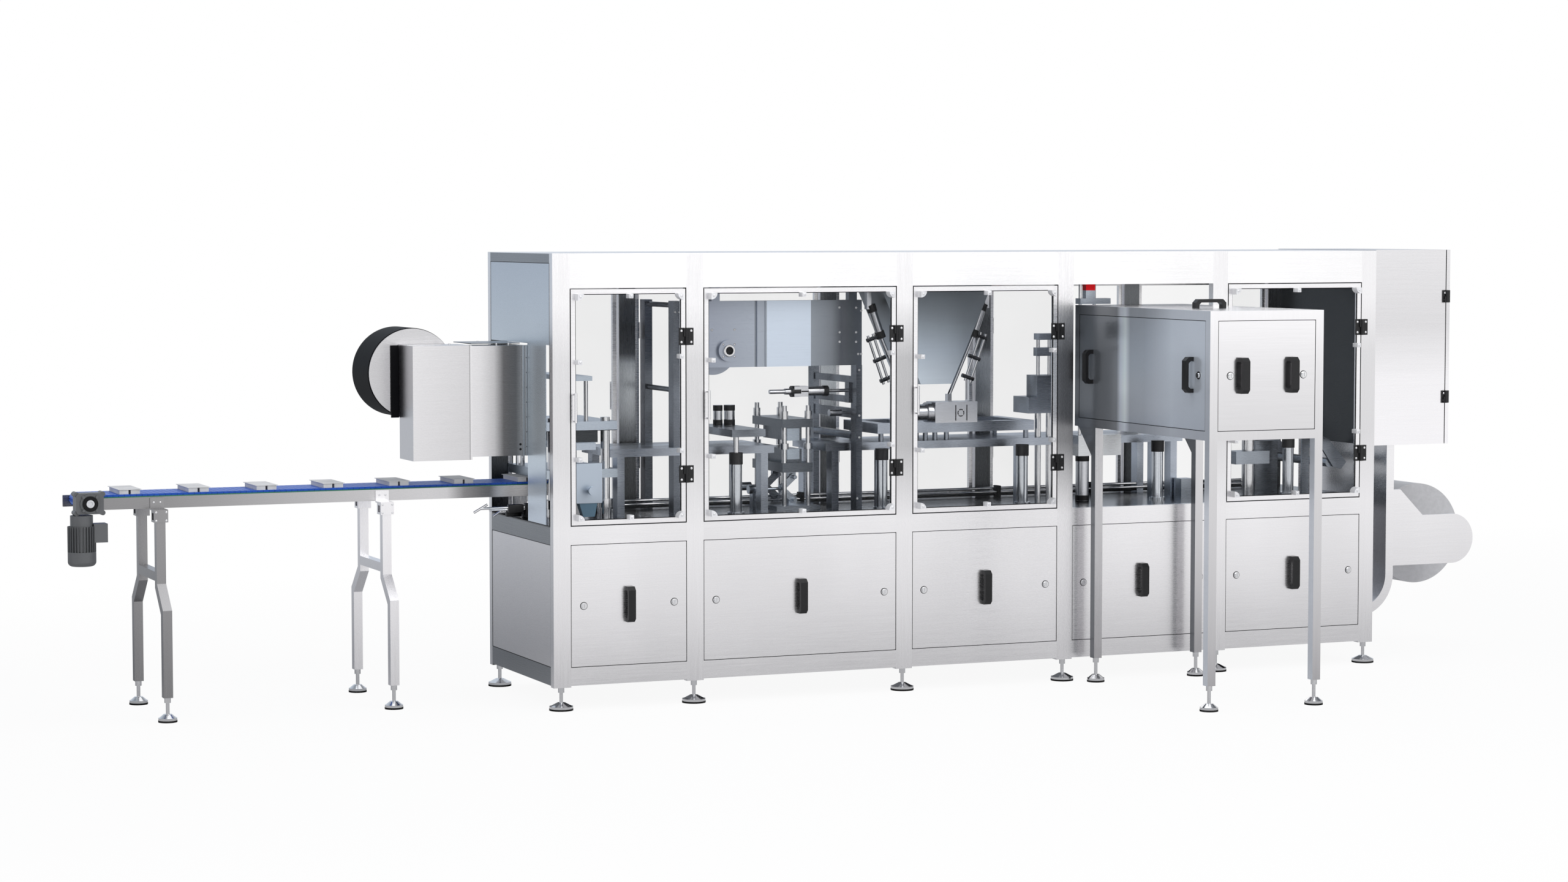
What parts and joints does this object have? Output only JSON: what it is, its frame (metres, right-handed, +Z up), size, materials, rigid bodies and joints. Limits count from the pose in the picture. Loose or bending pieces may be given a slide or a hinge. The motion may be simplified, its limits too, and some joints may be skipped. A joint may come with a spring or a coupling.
{
  "type": "thermoforming machine",
  "caption": "Thermoforming line with a guarded steel frame, outfeed belt conveyor, film reels and a front cabinet on legs.",
  "frame": {"origin": "centre of the overall box at floor level", "axes": "+X along the line from the outfeed conveyor to the film roll, +Y to the back, +Z up"},
  "size_m": [6.994, 2.1519, 2.003],
  "materials": {
    "brushed": "brushed",
    "bluish": "brushed",
    "polished": "polished",
    "black": "satin",
    "rubber": "matte",
    "clear": "clear",
    "white": "matte",
    "belt": "satin",
    "green": "satin",
    "grey": "satin",
    "teal": "satin",
    "film": "satin",
    "black_film": "satin",
    "alu": "satin"
  },
  "bodies": {
    "frame": {"actuators": "alu", "back_guards": "brushed", "back_panes": "clear", "back_posts": "brushed", "bay_rails": "brushed", "cabinet_frame": "brushed", "cabinet_panels": "brushed", "conveyor_belt": "belt", "conveyor_drums": "brushed", "conveyor_legs": "brushed", "conveyor_rails": "brushed", "cross_rails": "brushed", "deck": "brushed", "end_cover": "brushed", "end_panels": "bluish", "fascia": "brushed", "film_guard": "brushed", "foot_pads": "rubber", "frame_hinges": "black", "front_posts": "brushed", "gearbox": "grey", "guide_columns": "alu", "hopper": "bluish", "infeed_arms": "alu", "inner_unwinder": "alu", "leg_brackets": "brushed", "levelling_feet": "polished", "lower_panels": "brushed", "motor": "grey", "panel_handles": "black", "panel_locks": "polished", "press_columns": "polished", "press_linkage": "alu", "press_plates": "alu", "punch_chute": "teal", "roll_arm": "brushed", "roof": "brushed", "trays": "white", "unwinder_covers": "brushed", "wear_strips": "green", "web_frames": "alu", "web_table": "alu"},
    "door_1": {"door_1_frame": "brushed", "door_1_hinges": "black", "door_1_pane": "clear"},
    "door_2": {"door_2_frame": "brushed", "door_2_hinges": "black", "door_2_pane": "clear"},
    "door_3": {"door_3_frame": "brushed", "door_3_hinges": "black", "door_3_pane": "clear"},
    "door_5": {"door_5_frame": "brushed", "door_5_hinges": "black", "door_5_pane": "clear"},
    "cover_door": {"cover_door": "brushed", "cover_door_hinges": "black"},
    "lid_reel": {"lid_reel": "brushed", "lid_film": "black_film"},
    "film_roll": {"film_roll": "film"}
  },
  "joints": [
    {"name": "door_1_hinge", "type": "hinge", "parent": "frame", "child": "door_1", "pos_m": [-0.857, 0.1145, 1.3275], "axis": [0, 0, 1], "range_deg": [0, 110]},
    {"name": "door_2_hinge", "type": "hinge", "parent": "frame", "child": "door_2", "pos_m": [0.168, 0.1145, 1.3275], "axis": [0, 0, 1], "range_deg": [0, 110]},
    {"name": "door_3_hinge", "type": "hinge", "parent": "frame", "child": "door_3", "pos_m": [0.993, 0.1145, 1.3275], "axis": [0, 0, 1], "range_deg": [0, 90]},
    {"name": "door_5_hinge", "type": "hinge", "parent": "frame", "child": "door_5", "pos_m": [2.643, 0.1145, 1.3275], "axis": [0, 0, 1], "range_deg": [0, 110]},
    {"name": "cover_door_hinge", "type": "hinge", "parent": "frame", "child": "cover_door", "pos_m": [3.128, 0.1145, 1.5295], "axis": [0, 0, 1], "range_deg": [-100, 0]},
    {"name": "lid_reel_turn", "type": "hinge", "parent": "frame", "child": "lid_reel", "pos_m": [-1.9575, 0.7655, 1.468], "axis": [0, 1, 0], "continuous": true},
    {"name": "film_roll_turn", "type": "hinge", "parent": "frame", "child": "film_roll", "pos_m": [3.2495, 0.7655, 0.577], "axis": [0, 1, 0], "continuous": true}
  ]
}
